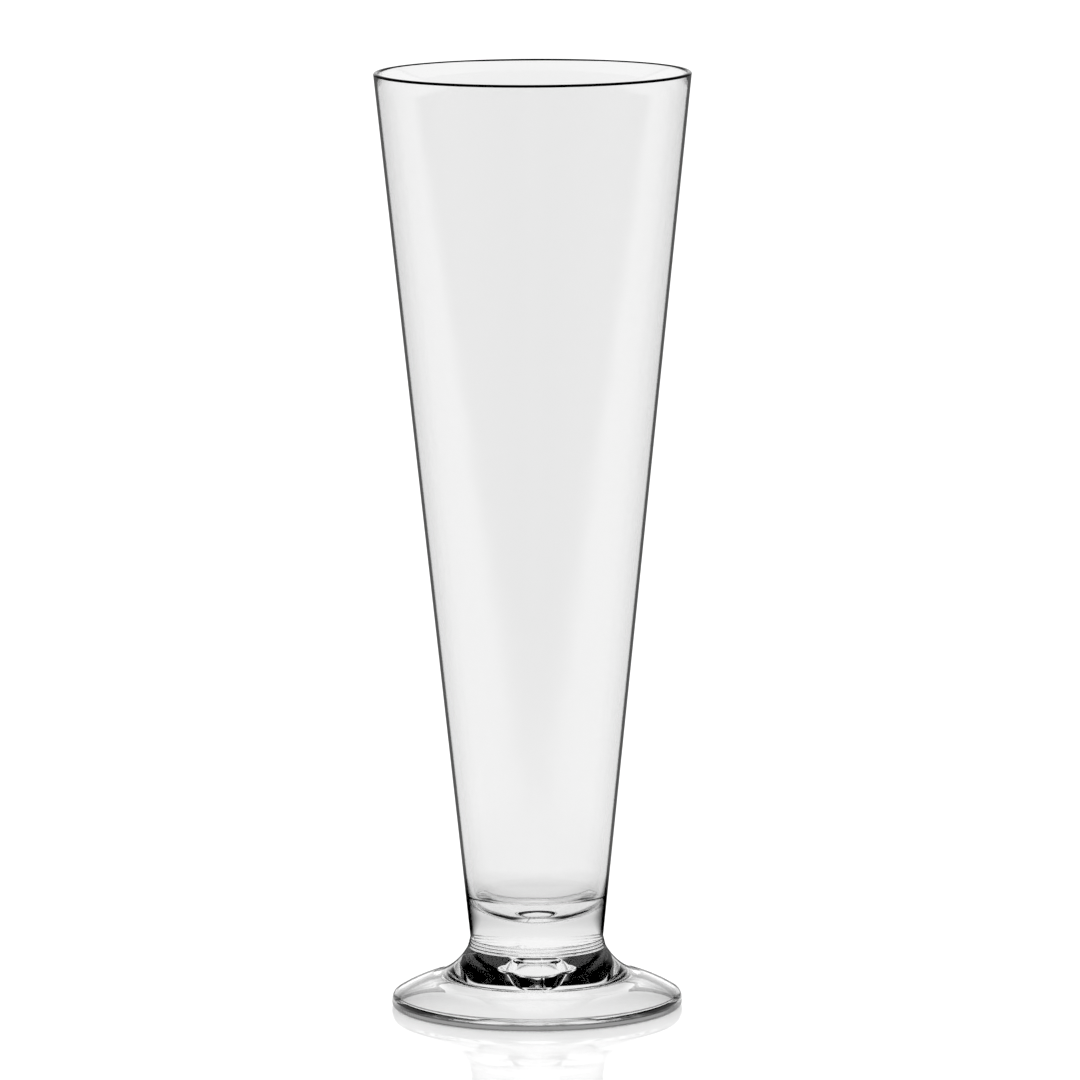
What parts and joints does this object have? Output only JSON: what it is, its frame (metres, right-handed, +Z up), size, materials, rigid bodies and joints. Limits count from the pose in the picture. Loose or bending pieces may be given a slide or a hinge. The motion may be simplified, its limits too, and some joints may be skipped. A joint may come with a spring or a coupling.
{
  "type": "pilsner glass",
  "caption": "Tall footed pilsner glass: straight conical bowl with a heavy base and thin rim, fused through a fine-ringed collar to a hollow flared foot; holds a drink and stands on its ring.",
  "frame": {"origin": "middle of the circle that the foot's standing ring makes on the table", "axes": "+Z up along the axis of the bowl; the glass is round, so +X and +Y are any two level directions"},
  "size_m": [0.0754, 0.0754, 0.225],
  "materials": {
    "clear_glass": "clear colourless soda-lime glass, fire-polished"
  },
  "bodies": {
    "root": {"bowl": "clear_glass", "neck_collar": "clear_glass", "foot": "clear_glass"}
  },
  "joints": []
}
